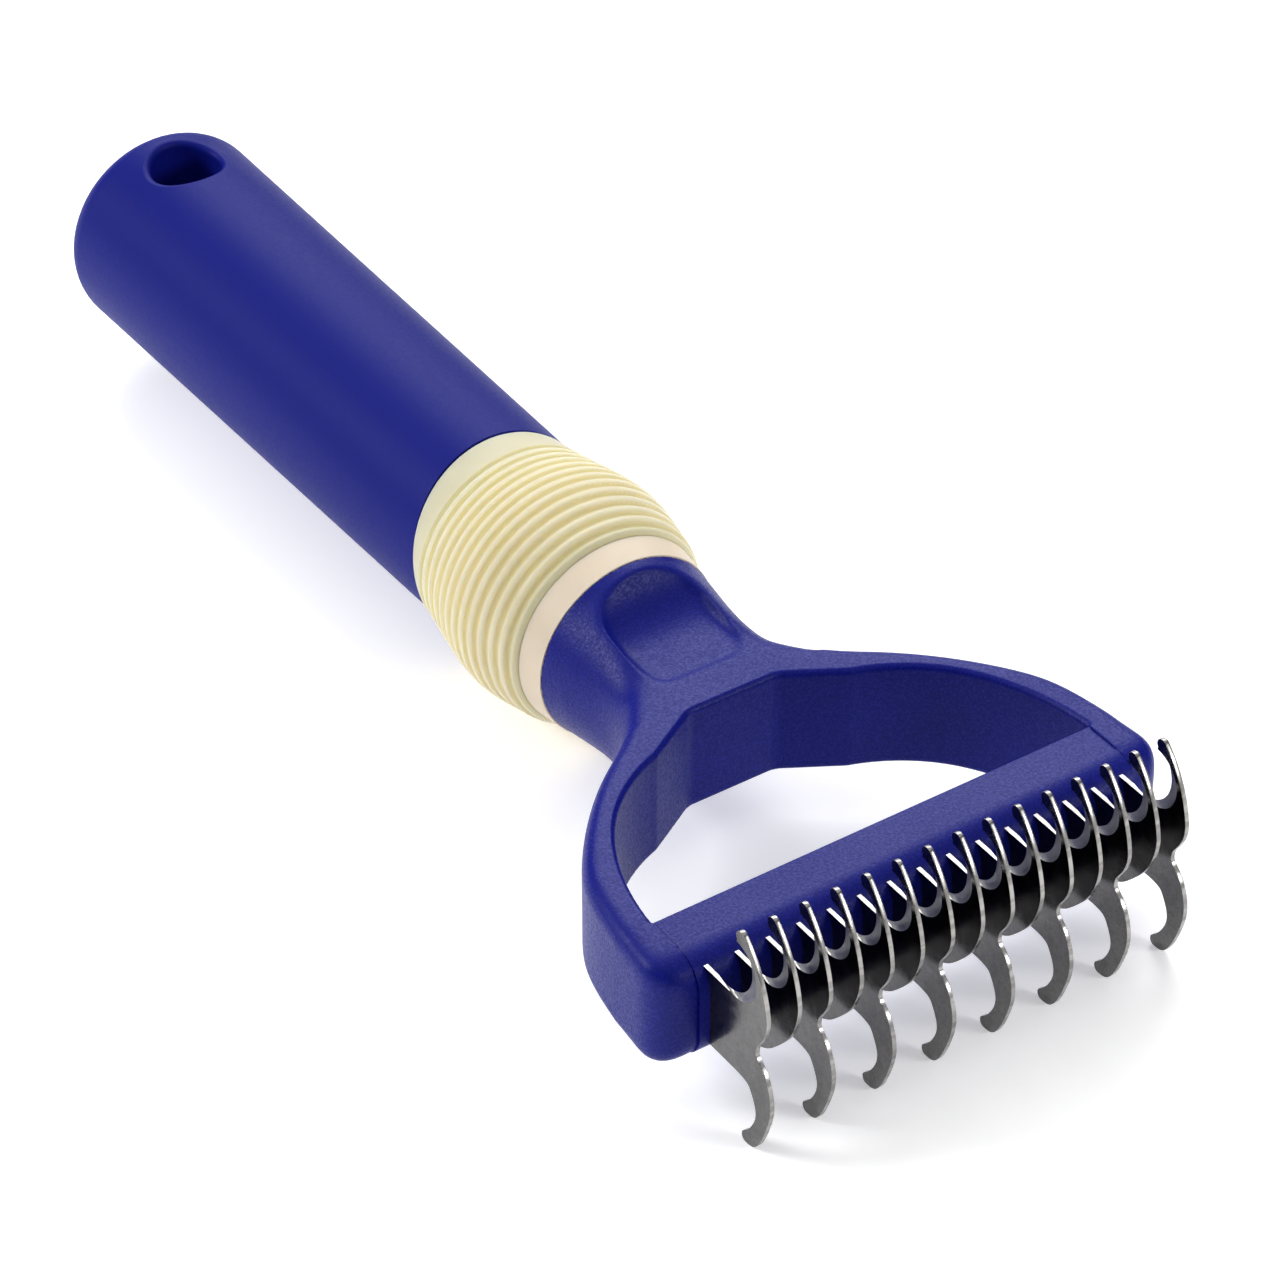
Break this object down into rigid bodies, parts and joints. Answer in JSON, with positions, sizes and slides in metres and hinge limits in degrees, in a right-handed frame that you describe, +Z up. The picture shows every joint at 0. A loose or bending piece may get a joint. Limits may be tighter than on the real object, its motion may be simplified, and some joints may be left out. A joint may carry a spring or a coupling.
{
  "type": "dematting comb",
  "caption": "Two-sided dematting comb: sharpened rake horns above and long hooked blades below on a bar in a D-shaped head, with a round handle, ribbed grip ring and hang hole.",
  "frame": {"origin": "middle of the underside of the whole comb's box: under the handle's axis, at the height of the long hooks' lowest points", "axes": "+Y along the handle from the blades to the hang hole, +Z up to the horn side of the blades, +X across the head"},
  "size_m": [0.0773, 0.2026, 0.0343],
  "materials": {
    "steel": "tumbled stainless sheet, polished sheared edges",
    "rod_steel": "plain drawn rod",
    "head_plastic": "fine spark-eroded texture, satin",
    "handle_plastic": "smooth matte",
    "ring_rubber": "soft translucent elastomer",
    "collar_plastic": "smooth, slightly glossy"
  },
  "bodies": {
    "root": {"rake_blade_1": "steel", "rake_blade_2": "steel", "rake_blade_3": "steel", "rake_blade_4": "steel", "rake_blade_5": "steel", "rake_blade_6": "steel", "rake_blade_7": "steel", "rake_blade_8": "steel", "short_blade_1": "steel", "short_blade_2": "steel", "short_blade_3": "steel", "short_blade_4": "steel", "short_blade_5": "steel", "short_blade_6": "steel", "short_blade_7": "steel", "blade_bar": "head_plastic", "blade_rod": "rod_steel", "head_frame": "head_plastic", "collar": "collar_plastic", "grip_ring": "ring_rubber", "handle": "handle_plastic", "tang_pin": "rod_steel"}
  },
  "joints": []
}
